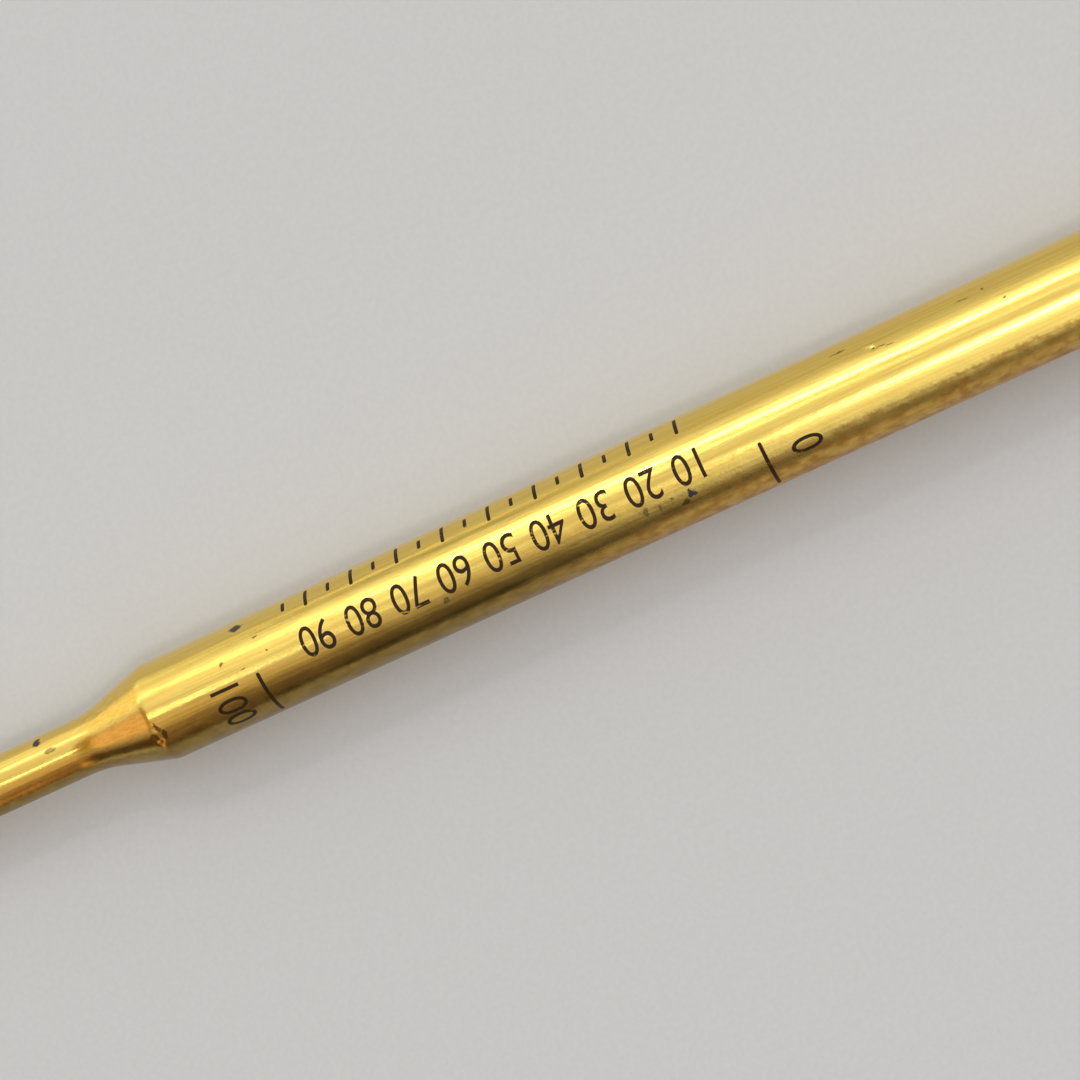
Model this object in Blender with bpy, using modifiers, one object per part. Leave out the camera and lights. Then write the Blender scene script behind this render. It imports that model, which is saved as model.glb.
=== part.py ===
"""Ballpoint pen refill.

A drawn brass ink tube, swaged down to a neck in front, holds a turned stainless tip with one
rolling ball. Paste ink fills the tube, and a moulded plug with an indexing crown closes its rear.

The refill lies on its side: its axis runs along X, with the ball at -X and the plug at +X, and the
barrel rests on Z = 0. The origin is under the middle of the refill.
"""

import math

import bmesh
import bpy

MM = 0.001

# Overall sizes
OVERALL_LENGTH = 98.1 * MM
BARREL_DIAMETER = 5.95 * MM
NECK_DIAMETER = 3.4 * MM

# Ink tube
BARREL_WALL = 0.30 * MM
NECK_WALL = 0.42 * MM
FRONT_LENGTH = 28.5 * MM
SHOULDER_LENGTH = 4.35 * MM
SHOULDER_NECK_FILLET = 7.5 * MM
SHOULDER_BARREL_FILLET = 1.8 * MM
TUBE_EDGE_RADIUS = 0.12 * MM

# Writing ball and the socket that holds it
BALL_DIAMETER = 1.0 * MM
BALL_CLEARANCE = 0.02 * MM
LIP_REACH = 0.25 * MM
LIP_THICKNESS = 0.07 * MM
CRIMP_LENGTH = 0.60 * MM
CRIMP_WALL = 0.24 * MM
CRIMP_FILLET = 0.6 * MM
SEAT_HALF_ANGLE = math.radians(60)
GROOVE_COUNT = 5
GROOVE_WIDTH = 0.13 * MM
GROOVE_DEPTH = 0.30 * MM
GROOVE_RIM = 0.06 * MM

# Body of the tip
TIP_LENGTH = 10.6 * MM
TIP_DIAMETER = 2.35 * MM
TIP_CONE_HALF_ANGLE = math.radians(13)
TIP_CONE_FILLET = 1.2 * MM
TIP_FLANGE_STEP = 0.3 * MM
TIP_FLANGE_LENGTH = 0.7 * MM
TIP_EDGE_RADIUS = 0.12 * MM
SHANK_LENGTH = 4.6 * MM
SHANK_CHAMFER = 0.25 * MM
FEED_BORE_DIAMETER = 1.3 * MM
FEED_BORE_STOP = 2.0 * MM
DRILL_HALF_ANGLE = math.radians(59)
CAPILLARY_DIAMETER = 0.44 * MM

# Rear plug
COLLAR_LENGTH = 2.0 * MM
CROWN_LENGTH = 3.6 * MM
CROWN_STEP = 0.375 * MM
CROWN_CUP_DIAMETER = 2.6 * MM
CROWN_SLOTS = 6
SLOT_FLOOR_WIDTH = 0.7 * MM
SLOT_MOUTH_WIDTH = 1.3 * MM
SLOT_DEPTH = 2.6 * MM
SPIGOT_LENGTH = 6.0 * MM
SPIGOT_RIB_COUNT = 3
SPIGOT_RIB_HEIGHT = 0.16 * MM
SPIGOT_RIB_LENGTH = 0.8 * MM
SPIGOT_LEAD = 0.5 * MM
VENT_DIAMETER = 1.1 * MM
PLUG_EDGE_RADIUS = 0.18 * MM

# Ink
INK_AIR_GAP = 8.0 * MM
MENISCUS_DEPTH = 0.9 * MM

# Clearances between pieces that touch on the real refill
PRESS_CLEARANCE = 0.02 * MM
SEAT_CLEARANCE = 0.03 * MM
INK_CLEARANCE = 0.03 * MM

# Facets
BARREL_SEGMENTS = 64
PLUG_SEGMENTS = 48
TIP_SEGMENTS = 40
BALL_SEGMENTS = 36
CHORD_TOLERANCE = 0.005 * MM
MERGE_DISTANCE = 0.001 * MM
CUT_MARGIN = 0.5 * MM

# Stations along the axis, measured from the middle of the refill
BALL_FRONT = -OVERALL_LENGTH / 2
BALL_CENTRE = BALL_FRONT + BALL_DIAMETER / 2
NECK_FRONT = BALL_FRONT + TIP_LENGTH + SEAT_CLEARANCE
SHANK_END = NECK_FRONT + SHANK_LENGTH
SHOULDER_REAR = BALL_FRONT + FRONT_LENGTH
SHOULDER_FRONT = SHOULDER_REAR - SHOULDER_LENGTH
CROWN_TOP = OVERALL_LENGTH / 2
COLLAR_REAR = CROWN_TOP - CROWN_LENGTH
COLLAR_FRONT = COLLAR_REAR - COLLAR_LENGTH
TUBE_REAR = COLLAR_FRONT - SEAT_CLEARANCE
SPIGOT_FRONT = COLLAR_FRONT - SPIGOT_LENGTH
INK_REAR = SPIGOT_FRONT - INK_AIR_GAP

# Radii that several pieces share
BARREL_RADIUS = BARREL_DIAMETER / 2
BARREL_BORE = BARREL_RADIUS - BARREL_WALL
NECK_RADIUS = NECK_DIAMETER / 2
NECK_BORE = NECK_RADIUS - NECK_WALL
SHANK_RADIUS = NECK_BORE - PRESS_CLEARANCE
CUP_RADIUS = BALL_DIAMETER / 2 + BALL_CLEARANCE
FEED_RADIUS = FEED_BORE_DIAMETER / 2
CAPILLARY_RADIUS = CAPILLARY_DIAMETER / 2
VENT_RADIUS = VENT_DIAMETER / 2
CROWN_RADIUS = BARREL_RADIUS - CROWN_STEP

# The facet under the barrel lies flat on Z = 0
AXIS_HEIGHT = BARREL_RADIUS * math.cos(math.pi / BARREL_SEGMENTS)


def clear_scene():
    for item in list(bpy.data.objects):
        bpy.data.objects.remove(item, do_unlink=True)


def new_collection(name):
    collection = bpy.data.collections.new(name)
    bpy.context.scene.collection.children.link(collection)
    return collection


def make_material(name, colour, metallic, roughness):
    material = bpy.data.materials.new(name)
    material.use_nodes = True
    shader = material.node_tree.nodes["Principled BSDF"]
    shader.inputs["Base Color"].default_value = (*colour, 1.0)
    shader.inputs["Metallic"].default_value = metallic
    shader.inputs["Roughness"].default_value = roughness
    material.diffuse_color = (*colour, 1.0)
    return material


def arc(centre, radius, start, end):
    """Points of an arc in the profile plane, from angle start to angle end, both included."""
    widest = 2 * math.acos(1 - min(1.0, CHORD_TOLERANCE / radius))
    steps = max(2, math.ceil(abs(end - start) / widest))
    points = []
    for step in range(steps + 1):
        angle = start + (end - start) * step / steps
        points.append((centre[0] + radius * math.cos(angle), centre[1] + radius * math.sin(angle)))
    return points


def fillet(before, corner, after, radius):
    """The arc of a given radius that rounds the corner between two straight stretches."""
    towards = []
    for other in (before, after):
        length = math.dist(corner, other)
        towards.append(((other[0] - corner[0]) / length, (other[1] - corner[1]) / length))
    (ax, ay), (bx, by) = towards
    opening = math.acos(max(-1.0, min(1.0, ax * bx + ay * by)))
    reach = radius / math.tan(opening / 2)
    middle = math.hypot(ax + bx, ay + by)
    off = radius / math.sin(opening / 2)
    centre = (corner[0] + off * (ax + bx) / middle, corner[1] + off * (ay + by) / middle)
    first = (corner[0] + reach * ax, corner[1] + reach * ay)
    last = (corner[0] + reach * bx, corner[1] + reach * by)
    start = math.atan2(first[1] - centre[1], first[0] - centre[0])
    turn = math.atan2(last[1] - centre[1], last[0] - centre[0]) - start
    turn = (turn + math.pi) % (2 * math.pi) - math.pi
    return arc(centre, radius, start, start + turn)


def outline(corners, closed=True):
    """Profile points from corners (radius, station, fillet radius); fillet 0 keeps a corner sharp."""
    points = []
    count = len(corners)
    for index, (radius, station, rounding) in enumerate(corners):
        between_two = closed or 0 < index < count - 1
        if rounding > 0 and between_two:
            before = corners[index - 1][:2]
            after = corners[(index + 1) % count][:2]
            points.extend(fillet(before, (radius, station), after, rounding))
        else:
            points.append((radius, station))
    return points


def turned(name, profile, segments, closed=True):
    """A turned piece: the profile (radius, station), wound round the local Z axis by a Screw modifier."""
    mesh = bpy.data.meshes.new(name)
    vertices = [(radius, 0.0, station) for radius, station in profile]
    edges = [(index, index + 1) for index in range(len(profile) - 1)]
    if closed:
        edges.append((len(profile) - 1, 0))
    mesh.from_pydata(vertices, edges, [])
    piece = bpy.data.objects.new(name, mesh)
    screw = piece.modifiers.new("turn", "SCREW")
    screw.axis = "Z"
    screw.angle = 2 * math.pi
    screw.steps = segments
    screw.render_steps = segments
    screw.use_smooth_shade = True
    screw.use_merge_vertices = not closed
    screw.merge_threshold = MERGE_DISTANCE
    return piece


def place(piece, axis, collection, material, segments):
    """Hang a turned piece on the refill's axis, with the middle of a facet facing down."""
    collection.objects.link(piece)
    piece.data.materials.append(material)
    piece.parent = axis
    piece.rotation_euler = (0.0, 0.0, math.pi / segments)


def cut(piece, cutters):
    for cutter in cutters:
        boolean = piece.modifiers.new(cutter.name, "BOOLEAN")
        boolean.operation = "DIFFERENCE"
        boolean.solver = "EXACT"
        boolean.object = cutter


def wedge_cutter(name, floor_width, mouth_width, low, high, inner, outer):
    """A radial slot cutter: inner to outer along X, low to high along Z, with its own width at each end."""
    mesh = bpy.data.meshes.new(name)
    form = bmesh.new()
    bmesh.ops.create_cube(form, size=1.0)
    for vertex in form.verts:
        width = mouth_width if vertex.co.z > 0 else floor_width
        vertex.co.x = outer if vertex.co.x > 0 else inner
        vertex.co.y *= width
        vertex.co.z = high if vertex.co.z > 0 else low
    form.to_mesh(mesh)
    form.free()
    return bpy.data.objects.new(name, mesh)


def place_cutter(cutter, axis, collection, angle):
    collection.objects.link(cutter)
    cutter.parent = axis
    cutter.rotation_euler = (0.0, 0.0, angle)
    cutter.hide_render = True
    cutter.display_type = "WIRE"


def even_shading(piece):
    """Let the large faces set the normals, so that flat faces look flat between rounded edges."""
    normals = piece.modifiers.new("even shading", "WEIGHTED_NORMAL")
    normals.keep_sharp = True


def inner_shoulder(barrel_radius, neck_radius, inset):
    """The two corners of a cone that lies an inset in from the shoulder's outer cone, neck end first."""
    slope = (BARREL_RADIUS - NECK_RADIUS) / SHOULDER_LENGTH
    lift = inset * math.hypot(1.0, slope)
    neck_station = SHOULDER_REAR + (neck_radius - BARREL_RADIUS + lift) / slope
    barrel_station = SHOULDER_REAR + (barrel_radius - BARREL_RADIUS + lift) / slope
    return [
        (neck_radius, neck_station, SHOULDER_NECK_FILLET + inset),
        (barrel_radius, barrel_station, SHOULDER_BARREL_FILLET - inset),
    ]


def make_ink_tube():
    corners = [
        (BARREL_RADIUS, TUBE_REAR, TUBE_EDGE_RADIUS),
        (BARREL_RADIUS, SHOULDER_REAR, SHOULDER_BARREL_FILLET),
        (NECK_RADIUS, SHOULDER_FRONT, SHOULDER_NECK_FILLET),
        (NECK_RADIUS, NECK_FRONT, TUBE_EDGE_RADIUS),
        (NECK_BORE, NECK_FRONT, TUBE_EDGE_RADIUS),
        *inner_shoulder(BARREL_BORE, NECK_BORE, BARREL_WALL),
        (BARREL_BORE, TUBE_REAR, TUBE_EDGE_RADIUS),
    ]
    return turned("ink_tube", outline(corners), BARREL_SEGMENTS)


def make_tip_socket():
    """The tip from its shank, forward over the cone and the crimped lip, and back through its bore."""
    tip_radius = TIP_DIAMETER / 2
    flange_radius = tip_radius + TIP_FLANGE_STEP
    flange_front = NECK_FRONT - SEAT_CLEARANCE - TIP_FLANGE_LENGTH
    lip_front = BALL_CENTRE - LIP_REACH
    lip_angle = math.asin(LIP_REACH / CUP_RADIUS)
    lip_radius = CUP_RADIUS * math.cos(lip_angle)
    crimp_radius = CUP_RADIUS + CRIMP_WALL
    crimp_rear = lip_front + CRIMP_LENGTH
    cone_rear = crimp_rear + (tip_radius - crimp_radius) / math.tan(TIP_CONE_HALF_ANGLE)
    outer = [
        (SHANK_RADIUS - SHANK_CHAMFER, SHANK_END, 0),
        (SHANK_RADIUS, SHANK_END - SHANK_CHAMFER, 0),
        (SHANK_RADIUS, NECK_FRONT - SEAT_CLEARANCE, 0),
        (flange_radius, NECK_FRONT - SEAT_CLEARANCE, TIP_EDGE_RADIUS),
        (flange_radius, flange_front, TIP_EDGE_RADIUS),
        (tip_radius, flange_front, TIP_EDGE_RADIUS),
        (tip_radius, cone_rear, TIP_CONE_FILLET),
        (crimp_radius, crimp_rear, CRIMP_FILLET),
        (lip_radius + LIP_THICKNESS, lip_front, 0),
    ]
    seat_slope = math.tan(SEAT_HALF_ANGLE)
    seat_point = BALL_CENTRE + CUP_RADIUS / math.sin(SEAT_HALF_ANGLE)
    drill_rear = BALL_CENTRE + FEED_BORE_STOP
    drill_front = drill_rear - (FEED_RADIUS - CAPILLARY_RADIUS) / math.tan(DRILL_HALF_ANGLE)
    bore = [
        (CUP_RADIUS, seat_point - CUP_RADIUS / seat_slope, 0),
        (CAPILLARY_RADIUS, seat_point - CAPILLARY_RADIUS / seat_slope, 0),
        (CAPILLARY_RADIUS, drill_front, 0),
        (FEED_RADIUS, drill_rear, 0),
        (FEED_RADIUS, SHANK_END, 0),
    ]
    lip = arc((0.0, BALL_CENTRE), CUP_RADIUS, -lip_angle, 0.0)
    profile = outline(outer, closed=False) + lip + outline(bore, closed=False)
    return turned("tip_socket", profile, TIP_SEGMENTS)


def make_groove_cutters():
    """Ink grooves: radial slots in the ball's seat, from the capillary to just short of the cup's wall."""
    seat_rear = BALL_CENTRE + CUP_RADIUS
    cutters = []
    for index in range(GROOVE_COUNT):
        cutter = wedge_cutter(
            f"groove_cutter_{index + 1}",
            GROOVE_WIDTH,
            GROOVE_WIDTH,
            BALL_CENTRE + BALL_CLEARANCE,
            seat_rear + GROOVE_DEPTH,
            CAPILLARY_RADIUS / 2,
            CUP_RADIUS - GROOVE_RIM,
        )
        cutters.append(cutter)
    return cutters


def make_writing_ball():
    """The ball, with its poles on the axis that it rolls about."""
    mesh = bpy.data.meshes.new("writing_ball")
    form = bmesh.new()
    bmesh.ops.create_uvsphere(
        form, u_segments=BALL_SEGMENTS, v_segments=BALL_SEGMENTS // 2, radius=BALL_DIAMETER / 2
    )
    form.to_mesh(mesh)
    form.free()
    mesh.shade_smooth()
    return bpy.data.objects.new("writing_ball", mesh)


def make_ink_column():
    """Paste ink from its meniscus, down the barrel and the neck, into the feed bore of the tip."""
    barrel_radius = BARREL_BORE - INK_CLEARANCE
    neck_radius = NECK_BORE - INK_CLEARANCE
    stem_radius = FEED_RADIUS - INK_CLEARANCE
    neck_front = SHANK_END + INK_CLEARANCE
    drill_rear = BALL_CENTRE + FEED_BORE_STOP
    bowl = (barrel_radius**2 + MENISCUS_DEPTH**2) / (2 * MENISCUS_DEPTH)
    spread = math.asin(barrel_radius / bowl)
    meniscus_centre = (0.0, INK_REAR - MENISCUS_DEPTH + bowl)
    meniscus = arc(meniscus_centre, bowl, -math.pi / 2, -math.pi / 2 + spread)
    meniscus[0] = (0.0, INK_REAR - MENISCUS_DEPTH)
    neck_corner, barrel_corner = inner_shoulder(barrel_radius, neck_radius, BARREL_WALL + INK_CLEARANCE)
    wall = [
        (barrel_radius, INK_REAR, 0),
        barrel_corner,
        neck_corner,
        (neck_radius, neck_front, 0),
        (stem_radius, neck_front, 0),
        (stem_radius, drill_rear, 0),
        (0.0, drill_rear, 0),
    ]
    profile = meniscus[:-1] + outline(wall, closed=False)
    return turned("ink_column", profile, TIP_SEGMENTS, closed=False)


def spigot_outline(radius):
    """The spigot's outer line with its sealing ribs, from the collar forward."""
    pitch = (SPIGOT_LENGTH - SPIGOT_LEAD) / (SPIGOT_RIB_COUNT + 1)
    line = [(radius, COLLAR_FRONT, 0)]
    for index in range(SPIGOT_RIB_COUNT):
        middle = COLLAR_FRONT - pitch * (index + 1)
        line.append((radius, middle + SPIGOT_RIB_LENGTH / 2, 0))
        line.append((radius + SPIGOT_RIB_HEIGHT, middle, SPIGOT_RIB_LENGTH / 2))
        line.append((radius, middle - SPIGOT_RIB_LENGTH / 2, 0))
    line.append((radius, SPIGOT_FRONT + SPIGOT_LEAD, 0))
    line.append((radius - SPIGOT_LEAD / 2, SPIGOT_FRONT, 0))
    return line


def make_rear_plug():
    """The plug from the top of its crown, down over the collar and spigot, and back up the vent."""
    cup_radius = CROWN_CUP_DIAMETER / 2
    spigot_radius = BARREL_BORE - PRESS_CLEARANCE - SPIGOT_RIB_HEIGHT
    cup_floor = CROWN_TOP - SLOT_DEPTH
    corners = [
        (CROWN_RADIUS, CROWN_TOP, PLUG_EDGE_RADIUS),
        (CROWN_RADIUS, COLLAR_REAR, PLUG_EDGE_RADIUS),
        (BARREL_RADIUS, COLLAR_REAR, PLUG_EDGE_RADIUS),
        (BARREL_RADIUS, COLLAR_FRONT, TUBE_EDGE_RADIUS),
        *spigot_outline(spigot_radius),
        (VENT_RADIUS, SPIGOT_FRONT, 0),
        (VENT_RADIUS, cup_floor, 0),
        (cup_radius, cup_floor, PLUG_EDGE_RADIUS),
        (cup_radius, CROWN_TOP, PLUG_EDGE_RADIUS),
    ]
    return turned("rear_plug", outline(corners), PLUG_SEGMENTS)


def make_slot_cutters():
    """Tapered slots that leave one tooth of the crown between each two."""
    taper = (SLOT_MOUTH_WIDTH - SLOT_FLOOR_WIDTH) / SLOT_DEPTH
    cutters = []
    for index in range(CROWN_SLOTS):
        cutter = wedge_cutter(
            f"slot_cutter_{index + 1}",
            SLOT_FLOOR_WIDTH,
            SLOT_MOUTH_WIDTH + taper * CUT_MARGIN,
            CROWN_TOP - SLOT_DEPTH,
            CROWN_TOP + CUT_MARGIN,
            CROWN_CUP_DIAMETER / 4,
            CROWN_RADIUS + CUT_MARGIN,
        )
        cutters.append(cutter)
    return cutters


def main():
    clear_scene()
    parts = new_collection("ballpoint_refill")
    tools = new_collection("cutters")

    brass = make_material("drawn_brass", (0.80, 0.58, 0.20), 1.0, 0.28)
    steel = make_material("stainless_steel", (0.62, 0.61, 0.59), 1.0, 0.25)
    carbide = make_material("polished_carbide", (0.50, 0.50, 0.52), 1.0, 0.10)
    ink = make_material("blue_paste_ink", (0.02, 0.03, 0.22), 0.0, 0.20)
    plastic = make_material("blue_plastic", (0.03, 0.07, 0.30), 0.0, 0.42)

    axis = bpy.data.objects.new("refill_axis", None)
    parts.objects.link(axis)
    axis.location = (0.0, 0.0, AXIS_HEIGHT)
    axis.rotation_euler = (0.0, math.pi / 2, 0.0)

    tube = make_ink_tube()
    place(tube, axis, parts, brass, BARREL_SEGMENTS)

    socket = make_tip_socket()
    place(socket, axis, parts, steel, TIP_SEGMENTS)
    grooves = make_groove_cutters()
    for index, cutter in enumerate(grooves):
        place_cutter(cutter, axis, tools, 2 * math.pi * index / GROOVE_COUNT)
    cut(socket, grooves)

    ball = make_writing_ball()
    parts.objects.link(ball)
    ball.data.materials.append(carbide)
    ball.parent = axis
    ball.location = (0.0, 0.0, BALL_CENTRE)
    ball.rotation_euler = (math.pi / 2, 0.0, 0.0)

    column = make_ink_column()
    place(column, axis, parts, ink, TIP_SEGMENTS)

    plug = make_rear_plug()
    place(plug, axis, parts, plastic, PLUG_SEGMENTS)
    slots = make_slot_cutters()
    for index, cutter in enumerate(slots):
        place_cutter(cutter, axis, tools, 2 * math.pi * (index + 0.5) / CROWN_SLOTS)
    cut(plug, slots)

    for piece in (tube, socket, column, plug):
        even_shading(piece)


main()
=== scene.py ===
"""Looks of a ballpoint refill: a drawn brass ink tube, a turned steel tip with its ball, and a moulded plug.

The refill lies along X with the ball at -X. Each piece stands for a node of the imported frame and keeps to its
place, or is print on the barrel. Materials work in millimetres, measured from the refill's axis.
"""

import math

import bpy
from mathutils import Matrix, Vector


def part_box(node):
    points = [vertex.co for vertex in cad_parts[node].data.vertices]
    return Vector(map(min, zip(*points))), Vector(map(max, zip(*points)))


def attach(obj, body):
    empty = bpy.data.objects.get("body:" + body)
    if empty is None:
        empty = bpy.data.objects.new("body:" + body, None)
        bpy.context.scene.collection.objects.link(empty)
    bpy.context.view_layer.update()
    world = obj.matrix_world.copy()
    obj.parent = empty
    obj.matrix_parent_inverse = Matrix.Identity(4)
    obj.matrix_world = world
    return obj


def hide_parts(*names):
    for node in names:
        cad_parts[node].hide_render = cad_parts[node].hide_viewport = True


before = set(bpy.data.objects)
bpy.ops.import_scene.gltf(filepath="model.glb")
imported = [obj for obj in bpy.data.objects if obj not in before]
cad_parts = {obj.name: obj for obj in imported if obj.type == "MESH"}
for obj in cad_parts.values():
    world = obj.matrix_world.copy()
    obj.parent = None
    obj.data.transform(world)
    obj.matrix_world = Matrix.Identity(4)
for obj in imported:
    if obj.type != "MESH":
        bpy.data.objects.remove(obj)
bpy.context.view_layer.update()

bl_info = {
    "name": "Brass Ballpoint Refill",
    "version": (1, 0, 0),
    "blender": (4, 5, 0),
    "location": "3D View > Sidebar > Refill",
    "description": "Models a ballpoint refill with a drawn brass tube and lights it in a plain studio",
    "category": "Add Mesh",
}

MM = 0.001

# Places that the frame gives
TUBE_LOW, TUBE_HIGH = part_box("ink_tube")
TIP_LOW, TIP_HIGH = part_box("tip_socket")
BALL_LOW, BALL_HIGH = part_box("writing_ball")
INK_LOW, INK_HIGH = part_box("ink_column")
PLUG_LOW, PLUG_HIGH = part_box("rear_plug")
AXIS_HEIGHT = (TUBE_LOW.z + TUBE_HIGH.z) / 2
AXIS_POINT = Vector((0.0, 0.0, AXIS_HEIGHT))
ALONG_AXIS = Vector((1.0, 0.0, 0.0))
BARREL_RADIUS = (TUBE_HIGH.z - TUBE_LOW.z) / 2
BALL_CENTRE = (BALL_LOW.x + BALL_HIGH.x) / 2
BALL_RADIUS = (BALL_HIGH.x - BALL_LOW.x) / 2

# Fineness of the meshes
BARREL_SIDES = 256
PLUG_SIDES = 128
TIP_SIDES = 96
BALL_SIDES = 64
ARC_STEPS = 8
EDGE_TURN = math.radians(12)
EDGE_CHORD = 0.1 * MM
LONGEST_STEP = 2.0 * MM
MERGE = 0.0001 * MM
SMOOTH_ANGLE = math.radians(35)


def amount(name, description, default, **limits):
    return bpy.props.FloatProperty(name=name, description=description, default=default, **limits)


def length(name, description, millimetres):
    return amount(name, description, millimetres * MM, min=0.0, unit="LENGTH", precision=5)


def station(name, description, millimetres):
    return amount(name, description, millimetres * MM, unit="LENGTH", precision=5)


def angle(name, description, degrees):
    return amount(name, description, math.radians(degrees), subtype="ANGLE")


def level(name, description, default):
    return amount(name, description, default, min=0.0)


def count(name, description, default):
    return bpy.props.IntProperty(name=name, description=description, default=default, min=1)


def colour(name, description, default):
    return bpy.props.FloatVectorProperty(
        name=name, description=description, default=default, min=0.0, max=1.0, subtype="COLOR"
    )


class RefillSizes(bpy.types.PropertyGroup):
    """Sizes that the boxes of the frame don't give"""

    # Tube
    barrel_wall: length("Barrel wall", "Thickness of the tube's wall in the barrel", 0.30)
    neck_wall: length("Neck wall", "Thickness of the wall in the swaged neck", 0.42)
    neck_diameter: length("Neck diameter", "Outer diameter of the swaged neck", 3.4)
    shoulder_rear: station("Shoulder rear", "Where the cone of the shoulder meets the barrel", -20.55)
    shoulder_length: length("Shoulder length", "Length of the cone between neck and barrel", 4.35)
    neck_fillet: length("Neck fillet", "Radius of the hollow between neck and shoulder", 7.5)
    barrel_fillet: length("Barrel fillet", "Radius of the edge between shoulder and barrel", 1.8)
    tube_edge: length("Tube edge", "Rounding of the tube's cut ends", 0.12)
    nick_station: station("Nick", "Where along the barrel the small nick lies", 25.9)
    nick_turn: angle("Nick turn", "How far round from the top the nick lies", 37.5)
    nick_depth: length("Nick depth", "How deep the nick goes in", 0.06)
    nick_reach: length("Nick reach", "How far the nick and its burr reach to each side", 0.24)
    burr_height: length("Burr height", "How far the metal beside the nick stands up", 0.03)
    dent_depth: length("Dent depth", "How deep each dent of the crease at the shoulder goes in", 0.03)
    dent_reach: length("Dent reach", "How far a dent reaches to each side", 0.30)

    # Tip
    tip_diameter: length("Tip diameter", "Diameter of the tip behind its cone", 2.35)
    tip_cone: angle("Tip cone", "Half angle of the tip's cone", 13.0)
    cone_fillet: length("Cone fillet", "Rounding between the cone and the tip's body", 1.2)
    flange_step: length("Flange step", "How far the flange stands out from the tip", 0.3)
    flange_length: length("Flange length", "Length of the flange that meets the neck", 0.7)
    tip_edge: length("Tip edge", "Rounding of the tip's edges", 0.12)
    shank_chamfer: length("Shank chamfer", "Lead at the rear end of the tip's shank", 0.25)
    crimp_length: length("Crimp length", "Length of the burnished band behind the lip", 0.60)
    crimp_wall: length("Crimp wall", "Thickness of the wall round the ball", 0.24)
    crimp_fillet: length("Crimp fillet", "Rounding of the burnished band", 0.6)
    lip_edge: length("Lip edge", "Thickness of the crimped lip", 0.07)
    ball_gap: length("Ball gap", "Clearance round the ball", 0.02)
    seat_angle: angle("Seat angle", "Half angle of the ball's seat", 60.0)
    feed_bore: length("Feed bore", "Diameter of the bore that brings the ink", 1.3)
    feed_stop: length("Feed stop", "From the ball's middle back to the full feed bore", 2.0)
    drill_angle: angle("Drill angle", "Half angle of the feed bore's end", 59.0)
    capillary: length("Capillary", "Diameter of the hole behind the ball", 0.44)
    groove_count: count("Grooves", "Number of ink grooves in the ball's seat", 5)
    groove_width: length("Groove width", "Width of an ink groove", 0.13)
    groove_depth: length("Groove depth", "How far a groove goes back past the seat", 0.30)
    groove_rim: length("Groove rim", "Wall left between a groove and the cup", 0.06)

    # Ink
    ink_gap: length("Ink gap", "Clearance between the ink and what holds it", 0.03)
    meniscus: length("Meniscus", "How far the ink's rear end is hollowed", 0.9)

    # Plug
    press_gap: length("Press gap", "Clearance of a press fit", 0.02)
    collar_length: length("Collar length", "Length of the plug's collar behind the tube", 2.0)
    crown_length: length("Crown length", "Length of the crown behind the collar", 3.6)
    crown_step: length("Crown step", "How far the crown stands in from the collar", 0.375)
    plug_edge: length("Plug edge", "Rounding of the plug's edges", 0.18)
    tooth_count: count("Teeth", "Number of teeth of the crown", 6)
    tooth_height: length("Tooth height", "How far the teeth rise from the floor between them", 2.6)
    tooth_edge: length("Tooth edge", "Rounding of the teeth", 0.07)
    slot_floor: length("Slot floor", "Width of the gap between two teeth at its floor", 0.7)
    slot_mouth: length("Slot mouth", "Width of the gap between two teeth at its mouth", 1.05)
    cup_diameter: length("Cup", "Diameter of the hollow inside the teeth", 2.6)
    vent_diameter: length("Vent", "Diameter of the air hole through the plug", 1.1)
    spigot_lead: length("Spigot lead", "Length of the lead at the front of the spigot", 0.5)
    rib_count: count("Ribs", "Number of sealing ribs on the spigot", 3)
    rib_height: length("Rib height", "How far a rib stands out", 0.16)
    rib_length: length("Rib length", "Length of a rib along the spigot", 0.8)

    # Print
    digit_height: length("Digit height", "Height of the printed numbers", 1.85)
    print_start: station("Print start", "Where along the barrel the first number stands", 14.1)
    print_pitch: length("Print pitch", "Distance from one number to the next", 2.93)
    print_stroke: length("Print stroke", "Width of a printed line", 0.22)
    print_film: length("Print film", "Thickness of the printed film", 0.008)


class RefillColours(bpy.types.PropertyGroup):
    """Colours of the finishes"""

    brass_bright: colour("Bright brass", "Brass along the rubbed draw lines", (0.90, 0.66, 0.165))
    brass_deep: colour("Deep brass", "Brass between the draw lines", (0.81, 0.54, 0.11))
    # Tarnish and painted shade: warm brown laid over the near side of the barrel's rear, partly real tarnish
    # and partly painted shade
    tarnish_and_shade: colour("Tarnish", "Warm brown bloom on the rear of the barrel", (0.34, 0.10, 0.008))
    # Dirt and painted shade: olive laid over the near side of the tube's front, partly dirt and partly painted
    # shade; the dark specks and marks take it too
    dirt_and_shade: colour("Dirt", "Olive bloom on the front of the tube, and specks", (0.19, 0.115, 0.03))
    ink_stain: colour("Ink stain", "Ink that has dried on the tube", (0.014, 0.018, 0.036))
    smear: colour("Smear", "Green smears on the neck and the barrel", (0.09, 0.085, 0.03))
    black: colour("Black", "Printed scale", (0.032, 0.017, 0.006))
    steel: colour("Steel", "Turned stainless tip", (0.60, 0.58, 0.55))
    carbide: colour("Carbide", "Writing ball", (0.42, 0.42, 0.44))
    ink: colour("Ink", "Paste ink", (0.012, 0.018, 0.16))
    plug: colour("Plug", "Moulded plug", (0.03, 0.07, 0.30))
    floor: colour("Floor", "Studio floor", (0.60, 0.61, 0.61))
    near_light: colour("Near light", "Tint of the dim light from the near side", (1.0, 0.78, 0.68))


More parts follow.
